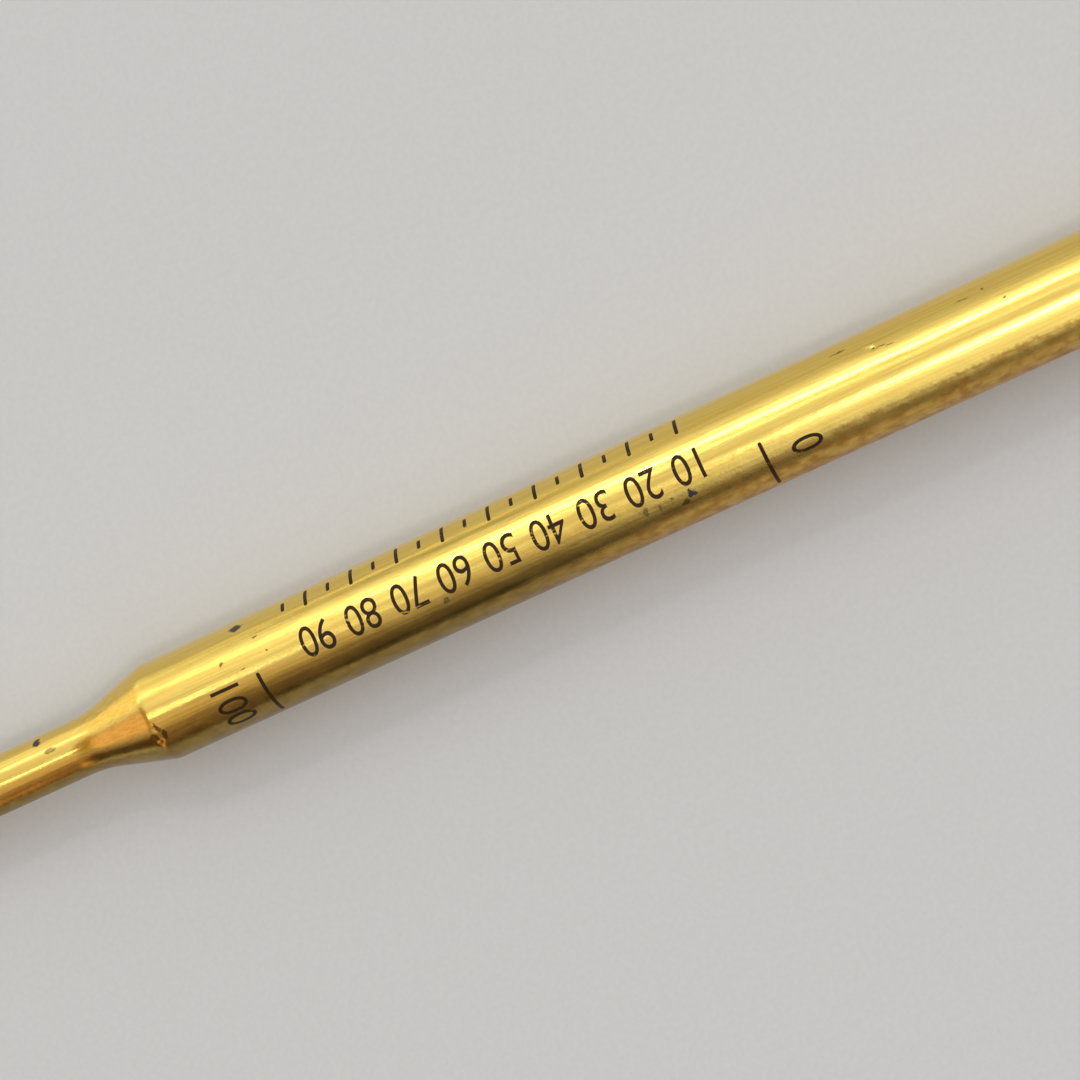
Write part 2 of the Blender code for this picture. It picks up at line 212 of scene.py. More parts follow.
class RefillStudio(bpy.types.PropertyGroup):
    """Camera and light"""

    lens: level("Lens", "Focal length of the camera in millimetres", 93.3)
    distance: length("Distance", "From the aim point to the camera", 159.8)
    tilt: angle("Tilt", "How far the camera leans towards the rear of the refill", 9.5)
    roll: angle("Roll", "How far the refill rises to the right in the picture", 24.65)
    aim_station: station("Aim along", "Point on the refill's axis that the camera looks at", 4.2)
    aim_across: station("Aim across", "Sideways place of the point that the camera looks at", -0.15)
    horizon: level("Horizon", "Level of the pale far horizon", 0.55)
    lamps: level("Lamps", "Level of the lamps, as a share of what each is set to", 1.0)


class Shade:
    """A socket of a shader tree. Sums and products of it become Math nodes; node() adds any other node."""

    def __init__(self, tree, socket=None):
        self.tree = tree
        self.socket = socket

    def node(self, kind, sockets=None, output=0, **settings):
        made = self.tree.nodes.new(f"ShaderNode{kind}")
        for name, value in settings.items():
            if name == "stops":
                set_stops(made.color_ramp, value)
            else:
                setattr(made, name, value)
        for key, value in (sockets or {}).items():
            if isinstance(value, Shade):
                self.tree.links.new(value.socket, made.inputs[key])
            else:
                made.inputs[key].default_value = value
        return Shade(self.tree, made.outputs[output] if made.outputs else None)

    def math(self, operation, first, second=0.0):
        return self.node("Math", {0: first, 1: second}, operation=operation)

    def __add__(self, other):
        return self.math("ADD", self, other)

    def __sub__(self, other):
        return self.math("SUBTRACT", self, other)

    def __mul__(self, other):
        return self.math("MULTIPLY", self, other)

    def __truediv__(self, other):
        return self.math("DIVIDE", self, other)

    def __rsub__(self, other):
        return self.math("SUBTRACT", other, self)

    def __rtruediv__(self, other):
        return self.math("DIVIDE", other, self)

    __radd__ = __add__
    __rmul__ = __mul__

    def ramp(self, low, high):
        """0 below low, 1 above high and a soft rise between them."""
        sockets = {"Value": self, "From Min": low, "From Max": high}
        return self.node("MapRange", sockets, interpolation_type="SMOOTHSTEP")

    def blend(self, first, second):
        """The first colour where this is 0 and the second where it is 1."""
        sockets = {0: self, 6: opaque(first), 7: opaque(second)}
        return self.node("Mix", sockets, output=2, data_type="RGBA")

    def noise(self, along, across, detail):
        """Noise on this place that changes so often per millimetre, along and across the refill."""
        stretched = self.node("VectorMath", {0: self, 1: (along, across, across)}, operation="MULTIPLY")
        return self.node("TexNoise", {"Vector": stretched, "Scale": 1.0, "Detail": detail})

    def parts(self):
        return [self.node("SeparateXYZ", {0: self}, output=axis) for axis in range(3)]


def opaque(value):
    return value if isinstance(value, Shade) else (*value, 1.0)


def set_stops(ramp, stops):
    while len(ramp.elements) < len(stops):
        ramp.elements.new(1.0)
    for element, (position, grey) in zip(ramp.elements, stops):
        element.position = position
        element.color = (grey, grey, grey, 1.0)


def empty_tree(owner):
    """The emptied shader tree of a material or a world."""
    owner.use_nodes = True
    owner.node_tree.nodes.clear()
    return Shade(owner.node_tree)


def new_finish(name):
    """An empty material, and the place on the refill in millimetres from its axis."""
    material = bpy.data.materials.new(name)
    start = empty_tree(material)
    metres = start.node("TexCoord", output="Object")
    scale = 1.0 / MM
    sockets = {"Vector": metres, "Location": (0.0, 0.0, -AXIS_HEIGHT / MM), "Scale": (scale, scale, scale)}
    return material, start.node("Mapping", sockets)


def close_finish(material, place, relief, sockets):
    """End a material with a Principled shader; relief is the height of its surface detail in millimetres."""
    bump = place.node("Bump", {"Height": relief, "Distance": MM})
    surface = place.node("BsdfPrincipled", {**sockets, "Normal": bump})
    place.node("OutputMaterial", {"Surface": surface})
    return material


# Square of the share of its reach within which an oval is at full strength
OVAL_CORE = 0.35


def oval(first, second, middle, reach):
    """1 in the middle of a soft oval and 0 outside it, on two values that tell a place."""
    far_first = (first - middle[0]) / reach[0]
    far_second = (second - middle[1]) / reach[1]
    far = far_first * far_first + far_second * far_second
    return 1.0 - far.ramp(OVAL_CORE, 1.0)


# Marks on the brass: place along and round the barrel, and reach in the same directions, in millimetres
INK_MARKS = (
    ((13.5, -1.13), (0.15, 0.18)),
    ((13.5, -1.28), (0.26, 0.18)),
    ((13.55, -1.43), (0.42, 0.16)),
    ((-13.9, 3.05), (0.50, 0.34)),
    ((-27.85, 2.72), (0.32, 0.70)),
)
SMEAR_MARKS = (
    ((-27.1, 1.09), (0.46, 0.34)),
    ((-1.66, -1.10), (0.22, 0.28)),
    ((10.75, -1.25), (0.16, 0.34)),
    ((11.6, -1.35), (0.14, 0.30)),
    ((12.35, -1.3), (0.15, 0.28)),
)
DARK_MARKS = (
    # Painted shade: the first three dark marks lie along the crease where the shoulder meets the barrel
    ((-20.26, -0.62), (0.10, 0.26)),
    ((-20.16, -0.90), (0.14, 0.24)),
    ((-20.0, -1.36), (0.15, 0.36)),
    ((13.05, -1.72), (0.26, 0.20)),
    ((-15.2, 1.0), (0.12, 0.12)),
    ((-12.8, 1.74), (0.22, 0.07)),
    ((-14.1, 0.2), (0.16, 0.06)),
    ((-12.3, 0.68), (0.10, 0.12)),
    ((24.0, 2.77), (0.62, 0.05)),
    ((25.98, 1.96), (0.16, 0.10)),
    ((26.35, 1.84), (0.30, 0.06)),
    ((26.85, 1.72), (0.34, 0.05)),
    ((31.35, 2.42), (0.52, 0.05)),
    ((32.6, 2.54), (0.12, 0.10)),
    ((33.5, 1.35), (0.11, 0.08)),
)


def marks(along, around, places):
    """The strongest of several marks."""
    cover = oval(along, around, *places[0])
    for middle, reach in places[1:]:
        cover = cover.math("MAXIMUM", cover, oval(along, around, middle, reach))
    return cover


def drawn_brass(colours):
    """Satin brass with lengthwise draw lines, tarnish and painted shade on the near side, and a few marks,
    those at the shoulder's crease painted shade.
    """
    material, place = new_finish("drawn_brass")
    along, across, up = place.parts()
    around = place.math("ARCTAN2", across, up) * (BARREL_RADIUS / MM)
    waves = place.noise(0.3, 0.6, 2.0)
    draw_lines = place.noise(0.05, 5.5, 4.0)
    hairlines = place.noise(0.35, 16.0, 3.0)
    ripples = place.noise(0.8, 2.2, 2.0)
    grain = place.noise(5.0, 9.0, 2.0)
    patches = place.noise(0.45, 0.9, 5.0)
    mottle = place.noise(1.3, 1.6, 4.0)
    wobble = place.noise(3.4, 3.4, 4.0) - 0.5

    tone = (draw_lines * 0.6 + hairlines * 0.4).ramp(0.36, 0.64)
    # Painted shade: the near side, and more strongly its underside, is darkened towards tarnish colours; the
    # mottled stains within it are real tarnish
    shade_edge = wobble * 0.7 - around
    near_side_shade = shade_edge.ramp(1.26, 1.58) * (1.0 - shade_edge.ramp(4.6, 6.4))
    underside_shade = shade_edge.ramp(1.7, 2.5)
    rear = along.ramp(-2.0, 18.0)
    stains = (0.45 + rear * 0.80) * mottle.ramp(0.30, 0.72)
    shade_and_tarnish = near_side_shade * (0.17 + underside_shade * (0.58 - rear * 0.40) + stains * 0.32)
    ragged_along = along + wobble * 0.45
    ragged_around = around + wobble * 0.35
    ink = marks(ragged_along, ragged_around, INK_MARKS)
    smear = marks(ragged_along, ragged_around, SMEAR_MARKS) * (0.35 + patches.ramp(0.30, 0.50) * 0.65)
    dark = marks(ragged_along, ragged_around, DARK_MARKS)

    metal = tone.blend(colours.brass_deep, colours.brass_bright)
    # Painted shade and tarnish laid over the brass on the near side
    shaded_brass = shade_and_tarnish.blend(metal, rear.blend(colours.dirt_and_shade, colours.tarnish_and_shade))
    smeared = (smear * 0.75).blend(shaded_brass, colours.smear)
    # Dark specks and marks; those in the shoulder's crease are painted shade
    darkened = (dark * 0.85).blend(smeared, colours.dirt_and_shade)
    stained = (ink * 0.97).blend(darkened, colours.ink_stain)
    cover = ink.math("MAXIMUM", ink * 0.75, smear * 0.15)
    relief = waves * 0.012 + ripples * 0.008 + draw_lines * 0.0035 + hairlines * 0.0014 + grain * 0.0024
    sockets = {
        "Base Color": stained,
        "Metallic": 1.0 - cover,
        "Roughness": 0.08 + hairlines * 0.08 + patches * 0.14 + shade_and_tarnish * (0.04 + rear * 0.20) + cover * 0.25,
    }
    return close_finish(material, place, relief, sockets)


def stainless_steel(colours):
    """Turned steel with fine tool marks, and ink drawn out over the lip."""
    material, place = new_finish("stainless_steel")
    along, across, up = place.parts()
    radius = place.math("SQRT", across * across + up * up)
    ring_place = place.node("CombineXYZ", {"X": along, "Y": radius, "Z": 0.0})
    tool_marks = ring_place.noise(14.0, 14.0, 3.0)
    cloud = place.noise(1.2, 1.2, 3.0)
    lip = TIP_LOW.x / MM
    wet = (1.0 - along.ramp(lip + 0.1, lip + 0.9)) * cloud.ramp(0.42, 0.6)

    bare = tool_marks.ramp(0.3, 0.7).blend([0.86 * value for value in colours.steel], colours.steel)
    sockets = {
        "Base Color": (wet * 0.9).blend(bare, colours.ink),
        "Metallic": 1.0 - wet * 0.8,
        "Roughness": 0.20 + tool_marks * 0.16 + cloud * 0.06,
    }
    return close_finish(material, place, tool_marks * 0.0016 + cloud * 0.001, sockets)


def polished_carbide(colours):
    """Dark polished metal with a broken film of ink."""
    material, place = new_finish("polished_carbide")
    pits = place.noise(30.0, 30.0, 2.0)
    film = place.noise(2.6, 2.6, 3.0).ramp(0.44, 0.56)
    sockets = {
        "Base Color": (film * 0.85).blend(colours.carbide, colours.ink),
        "Metallic": 1.0 - film * 0.7,
        "Roughness": 0.10 + film * 0.12,
    }
    return close_finish(material, place, pits * 0.0005 + film * 0.001, sockets)


def blue_paste_ink(colours):
    """Glossy paste with soft swirls."""
    material, place = new_finish("blue_paste_ink")
    swirls = place.noise(0.5, 1.1, 3.0)
    thin = [min(1.0, 1.6 * value) for value in colours.ink]
    sockets = {
        "Base Color": swirls.ramp(0.4, 0.65).blend(colours.ink, thin),
        "Roughness": 0.12 + swirls * 0.15,
        "Coat Weight": 0.3,
    }
    return close_finish(material, place, swirls * 0.02, sockets)


def blue_plastic(colours):
    """Moulded plastic with a fine grain, a parting line and scuffed high spots."""
    material, place = new_finish("blue_plastic")
    along, across, up = place.parts()
    grain = place.noise(11.0, 11.0, 3.0)
    cloud = place.noise(0.8, 0.8, 2.0)
    parting = 1.0 - place.math("ABSOLUTE", across).ramp(0.015, 0.05)
    end = PLUG_HIGH.x / MM
    scuff = along.ramp(end - 0.25, end - 0.02) * grain.ramp(0.45, 0.62)
    pale = [0.6 * value + 0.08 for value in colours.plug]
    deep = [0.75 * value for value in colours.plug]
    sockets = {
        "Base Color": (scuff * 0.7).blend(cloud.ramp(0.35, 0.65).blend(deep, colours.plug), pale),
        "Roughness": 0.36 + grain * 0.16 + scuff * 0.15,
        "Subsurface Weight": 0.04,
        "Subsurface Scale": 0.3 * MM,
    }
    return close_finish(material, place, grain * 0.004 + parting * 0.012 * up.ramp(-0.1, 0.1), sockets)


def black_print(colours):
    """Thin black print, rubbed through to the brass in small places."""
    material, place = new_finish("black_print")
    grain = place.noise(3.0, 9.0, 4.0)
    rubbed = place.noise(0.5, 0.9, 2.0)
    worn = (grain * 0.6 + rubbed * 0.4).ramp(0.60, 0.68)
    sockets = {
        "Base Color": (worn * 0.85).blend(colours.black, colours.brass_deep),
        "Metallic": worn * 0.9,
        "Roughness": 0.36 - worn * 0.12,
        "Specular IOR Level": 0.12,
    }
    return close_finish(material, place, grain * 0.0015, sockets)


def pale_floor(colours):
    """Plain pale floor with a fine tooth."""
    material, place = new_finish("pale_floor")
    tooth = place.noise(3.0, 3.0, 2.0)
    shaded = [0.97 * value for value in colours.floor]
    sockets = {"Base Color": tooth.ramp(0.3, 0.7).blend(shaded, colours.floor), "Roughness": 0.9}
    return close_finish(material, place, tooth * 0.004, sockets)


def corner_arc(before, corner, after, rounding):
    """Points of the arc that rounds a corner between two straight stretches."""
    to_before = (before - corner).normalized()
    to_after = (after - corner).normalized()
    opening = to_before.angle(to_after)
    turn = math.pi - opening
    first = corner + to_before * (rounding / math.tan(opening / 2))
    centre = corner + (to_before + to_after).normalized() * (rounding / math.sin(opening / 2))
    spoke = first - centre
    way = 1.0 if to_before.cross(to_after) < 0 else -1.0
    steps = max(2, math.ceil(turn / EDGE_TURN), math.ceil(turn * rounding / EDGE_CHORD))
    return [centre + Matrix.Rotation(way * turn * step / steps, 2) @ spoke for step in range(steps + 1)]


def rounded(corners, closed):
    """Points of a line through corners (station, radius, rounding); rounding 0 keeps a corner sharp."""
    spots = [Vector(corner[:2]) for corner in corners]
    last = len(corners) - 1
    points = []
    for index, (corner, spot) in enumerate(zip(corners, spots)):
        if corner[2] > 0 and (closed or 0 < index < last):
            points += corner_arc(spots[index - 1], spot, spots[(index + 1) % len(spots)], corner[2])
        else:
            points.append(spot)
    return points


def stepped(points, closed):
    """The same line with long straight stretches cut into steps."""
    ends = points[1:] + points[:1] if closed else points[1:]
    line = []
    for start, end in zip(points, ends):
        steps = max(1, math.ceil((end - start).length / LONGEST_STEP))
        line += [start.lerp(end, step / steps) for step in range(steps)]
    return line if closed else line + points[-1:]


def arc_corners(centre, radius, start, end, steps):
    """Sharp corners along an arc round a point of the axis, with angles from the front over the top."""
    turns = [start + (end - start) * step / steps for step in range(steps + 1)]
    return [(centre - radius * math.cos(turn), radius * math.sin(turn), 0.0) for turn in turns]


def set_mode(mode):
    bpy.ops.object.mode_set(mode=mode)


def select_mesh(action):
    bpy.ops.mesh.select_all(action=action)


def deselect():
    bpy.ops.object.select_all(action="DESELECT")


def select(pieces):
    """Select these objects alone, and make the first of them active."""
    deselect()
    for piece in pieces:
        piece.select_set(True)
    bpy.context.view_layer.objects.active = pieces[0]


def begin_piece(name):
    """An empty mesh object in edit mode, with nothing else selected."""
    deselect()
    bpy.ops.object.add(type="MESH")
    piece = bpy.context.object
    piece.name = name
    piece.data.name = name
    set_mode("EDIT")
    return piece


def draw(points, closed):
    """A wire through the points, begun as a small plane that is merged into one vertex."""
    select_mesh("DESELECT")
    bpy.ops.mesh.primitive_plane_add(size=MM, location=points[0])
    bpy.ops.mesh.merge(type="CENTER")
    line = points + points[:1] if closed else points
    for start, end in zip(line, line[1:]):
        bpy.ops.mesh.extrude_vertices_move(TRANSFORM_OT_translate={"value": end - start})


def merge_doubles():
    """Select the whole mesh and merge the points that lie on each other."""
    select_mesh("SELECT")
    bpy.ops.mesh.remove_doubles(threshold=MERGE)


def close_piece(piece):
    """Merge doubles, turn the faces outwards and leave edit mode."""
    merge_doubles()
    bpy.ops.mesh.normals_make_consistent(inside=False)
    test_closed(piece)


def test_closed(piece):
    """Leave edit mode with a smooth piece; an open or empty mesh is an error."""
    select_mesh("DESELECT")
    bpy.ops.mesh.select_non_manifold()
    set_mode("OBJECT")
    loose = sum(vertex.select for vertex in piece.data.vertices)
    if loose or not piece.data.polygons:
        raise RuntimeError(f"{piece.name} isn't a closed mesh: {loose} open vertices")
    bpy.ops.object.shade_smooth_by_angle(angle=SMOOTH_ANGLE)


def turned(name, corners, sides, closed=True):
    """A solid of revolution: the line through the corners, drawn above the axis and spun round it."""
    line = stepped(rounded(corners, closed), closed)
    piece = begin_piece(name)
    draw([Vector((at, 0.0, AXIS_HEIGHT + radius)) for at, radius in line], closed)
    merge_doubles()
    bpy.ops.mesh.spin(steps=sides, angle=2 * math.pi, center=AXIS_POINT, axis=ALONG_AXIS)
    close_piece(piece)
    return piece


def settle(piece, material, node=None, body="refill"):
    """Give a finished piece its material and its body, and hide the node of the frame that it stands for."""
    piece.data.materials.clear()
    piece.data.materials.append(material)
    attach(piece, body)
    if node:
        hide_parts(node)


def apply_boolean(piece, other, operation):
    """Cut or join the piece with another mesh, which is used up."""
    select([piece])
    boolean = piece.modifiers.new(operation.lower(), "BOOLEAN")
    boolean.operation = operation
    boolean.solver = "MANIFOLD"
    boolean.object = other
    bpy.ops.object.modifier_apply(modifier=boolean.name)
    bpy.data.objects.remove(other)
    set_mode("EDIT")
    test_closed(piece)


def on_barrel(at, turn, radius):
    """Point on a round surface: a station, an angle from the top towards +Y and a radius."""
    return Vector((at, radius * math.sin(turn), AXIS_HEIGHT + radius * math.cos(turn)))


def press_in(piece, spot, depth, reach):
    """Push in the barrel at a station and an angle from the top, and softly what lies within reach."""
    point = on_barrel(*spot, BARREL_RADIUS)
    push = on_barrel(*spot, BARREL_RADIUS - depth) - point
    nearest = min(piece.data.vertices, key=lambda vertex: (vertex.co - point).length_squared).index
    set_mode("EDIT")
    select_mesh("DESELECT")
    set_mode("OBJECT")
    piece.data.vertices[nearest].select = True
    set_mode("EDIT")
    bpy.ops.transform.translate(
        value=push,
        use_proportional_edit=True,
        proportional_edit_falloff="SMOOTH",
        proportional_size=reach,
    )
    set_mode("OBJECT")


def shoulder_slope(sizes):
    """Rise of the shoulder's cone along the axis."""
    return (BARREL_RADIUS - sizes.neck_diameter / 2) / sizes.shoulder_length


def shoulder_corners(sizes, barrel_radius, neck_radius, inset):
    """Two corners of a cone that lies an inset in from the shoulder's outside, neck end first."""
    slope = shoulder_slope(sizes)
    lift = inset * math.hypot(1.0, slope)
    neck_station = sizes.shoulder_rear + (neck_radius - BARREL_RADIUS + lift) / slope
    barrel_station = sizes.shoulder_rear + (barrel_radius - BARREL_RADIUS + lift) / slope
    return [
        (neck_station, neck_radius, sizes.neck_fillet + inset),
        (barrel_station, barrel_radius, sizes.barrel_fillet - inset),
    ]


# Rings that give the mesh enough points near the nick, and near the dents past the corner's rounding
RING_STEP = 0.05 * MM
NICK_RINGS = range(-14, 15)
DENT_RINGS = range(6, 22)

# Dents that make a crease where the shoulder meets the barrel: way from the corner, and angle from the top
DENTS = (
    (0.20 * MM, math.radians(-15)),
    (-0.05 * MM, math.radians(-27)),
    (0.05 * MM, math.radians(-32)),
)

# The burr beside the nick: distance along the barrel, and round it
BURR_AWAY = (-0.32 * MM, math.radians(6))


def tube_corners(sizes):
    """The tube's outside from the neck to the rear end, and its inside back to the neck."""
    neck = sizes.neck_diameter / 2
    bore = BARREL_RADIUS - sizes.barrel_wall
    neck_bore = neck - sizes.neck_wall
    neck_end, barrel_end = shoulder_corners(sizes, BARREL_RADIUS, neck, 0.0)
    slope = shoulder_slope(sizes)
    near_dents = [ring * RING_STEP for ring in DENT_RINGS]
    near_nick = [ring * RING_STEP for ring in NICK_RINGS]
    return [
        (TUBE_LOW.x, neck, sizes.tube_edge),
        neck_end,
        *[(barrel_end[0] - away, BARREL_RADIUS - slope * away, 0.0) for away in reversed(near_dents)],
        barrel_end,
        *[(barrel_end[0] + away, BARREL_RADIUS, 0.0) for away in near_dents],
        *[(sizes.nick_station + away, BARREL_RADIUS, 0.0) for away in near_nick],
        (TUBE_HIGH.x, BARREL_RADIUS, sizes.tube_edge),
        (TUBE_HIGH.x, bore, sizes.tube_edge),
        *reversed(shoulder_corners(sizes, bore, neck_bore, sizes.barrel_wall)),
        (TUBE_LOW.x, neck_bore, sizes.tube_edge),
    ]


class REFILL_OT_brass_tube(bpy.types.Operator):
    """Turn the drawn brass tube with its neck and shoulder, and press its nick and dents into it"""

    bl_idname = "refill.brass_tube"
    bl_label = "Brass Tube"

    def execute(self, context):
        sizes = context.scene.refill_sizes
        tube = turned("brass_tube", tube_corners(sizes), BARREL_SIDES)
        nick = (sizes.nick_station, sizes.nick_turn)
        burr = (nick[0] + BURR_AWAY[0], nick[1] + BURR_AWAY[1])
        press_in(tube, nick, sizes.nick_depth, sizes.nick_reach)
        press_in(tube, burr, -sizes.burr_height, sizes.nick_reach)
        for away, turn in DENTS:
            press_in(tube, (sizes.shoulder_rear + away, turn), sizes.dent_depth, sizes.dent_reach)
        settle(tube, drawn_brass(context.scene.refill_colours), "ink_tube")
        return {"FINISHED"}


# Rounding of the lip's outer edge, as a share of its thickness
LIP_ROUNDING = 1 / 3


def tip_corners(sizes):
    """The tip from its shank, forward over flange, cone and lip, and back through cup, seat and bores."""
    neck_bore = sizes.neck_diameter / 2 - sizes.neck_wall
    shank = neck_bore - sizes.press_gap
    tip = sizes.tip_diameter / 2
    flange = tip + sizes.flange_step
    flange_rear = TUBE_LOW.x - sizes.ink_gap
    flange_front = flange_rear - sizes.flange_length
    cup = BALL_RADIUS + sizes.ball_gap
    lip_turn = math.asin((BALL_CENTRE - TIP_LOW.x) / cup)
    crimp = cup + sizes.crimp_wall
    crimp_rear = TIP_LOW.x + sizes.crimp_length
    cone_rear = crimp_rear + (tip - crimp) / math.tan(sizes.tip_cone)
    feed = sizes.feed_bore / 2
    capillary = sizes.capillary / 2
    seat_point = BALL_CENTRE + cup / math.sin(sizes.seat_angle)
    drill_rear = BALL_CENTRE + sizes.feed_stop
    return [
        (TIP_HIGH.x, feed, 0.0),
        (TIP_HIGH.x, shank - sizes.shank_chamfer, 0.0),
        (TIP_HIGH.x - sizes.shank_chamfer, shank, 0.0),
        (flange_rear, shank, 0.0),
        (flange_rear, flange, sizes.tip_edge),
        (flange_front, flange, sizes.tip_edge),
        (flange_front, tip, sizes.tip_edge),
        (cone_rear, tip, sizes.cone_fillet),
        (crimp_rear, crimp, sizes.crimp_fillet),
        (TIP_LOW.x, cup * math.cos(lip_turn) + sizes.lip_edge, sizes.lip_edge * LIP_ROUNDING),
        *arc_corners(BALL_CENTRE, cup, math.pi / 2 - lip_turn, math.pi / 2, ARC_STEPS),
        (seat_point - cup / math.tan(sizes.seat_angle), cup, 0.0),
        (seat_point - capillary / math.tan(sizes.seat_angle), capillary, 0.0),
        (drill_rear - (feed - capillary) / math.tan(sizes.drill_angle), capillary, 0.0),
        (drill_rear, feed, 0.0),
    ]


def copy_of(first):
    """A copy of a piece with a mesh of its own, selected alone."""
    select([first])
    bpy.ops.object.duplicate()
    return bpy.context.object


def copies_round(first, number):
    """A piece and its copies, spread evenly round the axis."""
    pieces = [first]
    for index in range(1, number):
        pieces.append(copy_of(first))
        set_mode("EDIT")
        select_mesh("SELECT")
        turn = 2 * math.pi * index / number
        bpy.ops.transform.rotate(value=turn, orient_axis="X", center_override=AXIS_POINT)
        set_mode("OBJECT")
    return pieces


def groove_cutter(sizes):
    """A thin block above the axis, from half way into the capillary out to the rim of the seat."""
    cup = BALL_RADIUS + sizes.ball_gap
    front = BALL_CENTRE + sizes.ball_gap
    rear = BALL_CENTRE + cup + sizes.groove_depth
    inner = sizes.capillary / 4
    outer = cup - sizes.groove_rim
    cutter = begin_piece("groove_cutter")
    bpy.ops.mesh.primitive_cube_add(size=1.0)
    bpy.ops.transform.resize(value=(rear - front, sizes.groove_width, outer - inner))
    bpy.ops.transform.translate(value=((front + rear) / 2, 0.0, AXIS_HEIGHT + (inner + outer) / 2))
    close_piece(cutter)
    return cutter


class REFILL_OT_steel_tip(bpy.types.Operator):
    """Turn the steel tip with its flange, cone, crimped lip and bores, and cut the ink grooves"""

    bl_idname = "refill.steel_tip"
    bl_label = "Steel Tip"

    def execute(self, context):
        sizes = context.scene.refill_sizes
        tip = turned("steel_tip", tip_corners(sizes), TIP_SIDES)
        for cutter in copies_round(groove_cutter(sizes), sizes.groove_count):
            apply_boolean(tip, cutter, "DIFFERENCE")
        settle(tip, stainless_steel(context.scene.refill_colours), "tip_socket")
        return {"FINISHED"}


class REFILL_OT_carbide_ball(bpy.types.Operator):
    """Turn the writing ball"""

    bl_idname = "refill.carbide_ball"
    bl_label = "Carbide Ball"

    def execute(self, context):
        corners = arc_corners(BALL_CENTRE, BALL_RADIUS, 0.0, math.pi, BALL_SIDES // 2)
        ball = turned("carbide_ball", corners, BALL_SIDES, closed=False)
        finish = polished_carbide(context.scene.refill_colours)
        settle(ball, finish, "writing_ball", "ball")
        return {"FINISHED"}


def ink_corners(sizes):
    """Half section of the ink, from the hollow of its rear end forward to the feed bore of the tip."""
    barrel = BARREL_RADIUS - sizes.barrel_wall - sizes.ink_gap
    neck = sizes.neck_diameter / 2 - sizes.neck_wall - sizes.ink_gap
    stem = sizes.feed_bore / 2 - sizes.ink_gap
    neck_front = TIP_HIGH.x + sizes.ink_gap
    bowl = (barrel**2 + sizes.meniscus**2) / (2 * sizes.meniscus)
    spread = math.asin(barrel / bowl)
    bowl_centre = INK_HIGH.x - sizes.meniscus + bowl
    inset = sizes.barrel_wall + sizes.ink_gap
    return [
        *arc_corners(bowl_centre, bowl, 0.0, spread, ARC_STEPS),
        *reversed(shoulder_corners(sizes, barrel, neck, inset)),
        (neck_front, neck, 0.0),
        (neck_front, stem, 0.0),
        (INK_LOW.x, stem, 0.0),
        (INK_LOW.x, 0.0, 0.0),
    ]


class REFILL_OT_paste_ink(bpy.types.Operator):
    """Turn the column of paste ink with its hollow rear end"""

    bl_idname = "refill.paste_ink"
    bl_label = "Paste Ink"

    def execute(self, context):
        sizes = context.scene.refill_sizes
        ink = turned("paste_ink", ink_corners(sizes), TIP_SIDES, closed=False)
        settle(ink, blue_paste_ink(context.scene.refill_colours), "ink_column")
        return {"FINISHED"}


def plug_corners(sizes):
    """The plug without its teeth, from the vent out over spigot, ribs, collar and the crown's foot."""
    bore = BARREL_RADIUS - sizes.barrel_wall
    spigot = bore - sizes.press_gap - sizes.rib_height
    vent = sizes.vent_diameter / 2
    crown = BARREL_RADIUS - sizes.crown_step
    collar_rear = PLUG_HIGH.x - sizes.crown_length
    collar_front = collar_rear - sizes.collar_length
    floor = PLUG_HIGH.x - sizes.tooth_height
    pitch = (collar_front - PLUG_LOW.x - sizes.spigot_lead) / (sizes.rib_count + 1)
    ribs = []
    for index in range(sizes.rib_count):
        middle = PLUG_LOW.x + sizes.spigot_lead + pitch * (index + 1)
        ribs.append((middle - sizes.rib_length / 2, spigot, 0.0))
        ribs.append((middle, spigot + sizes.rib_height, sizes.rib_length / 2))
        ribs.append((middle + sizes.rib_length / 2, spigot, 0.0))
    return [
        (PLUG_LOW.x, vent, 0.0),
        (PLUG_LOW.x, spigot - sizes.spigot_lead / 2, 0.0),
        (PLUG_LOW.x + sizes.spigot_lead, spigot, 0.0),
        *ribs,
        (collar_front, spigot, 0.0),
        (collar_front, BARREL_RADIUS, sizes.tube_edge),
        (collar_rear, BARREL_RADIUS, sizes.plug_edge),
        (collar_rear, crown, sizes.plug_edge),
        (floor, crown, sizes.tooth_edge),
        (floor, vent, sizes.tooth_edge),
    ]


# How far the teeth stand in from the crown's foot, the depth of their roots in it, and their fineness
TOOTH_INSET = 0.01 * MM
TOOTH_ROOT = 0.3 * MM
CUP_STEPS = 2
TOOTH_EDGE_STEPS = 3


def tooth_outline(sizes, at, slot_width):
    """Outline of a tooth across the axis at one station, between two slots of the given width."""
    half_pitch = math.pi / sizes.tooth_count
    outer = BARREL_RADIUS - sizes.crown_step - TOOTH_INSET
    inner = sizes.cup_diameter / 2
    outline = []
    for radius, way, steps in ((outer, 1.0, ARC_STEPS), (inner, -1.0, CUP_STEPS)):
        half = half_pitch - math.asin(slot_width / 2 / radius)
        for step in range(steps + 1):
            turn = way * half * (2 * step / steps - 1)
            outline.append(on_barrel(at, turn, radius))
    return outline


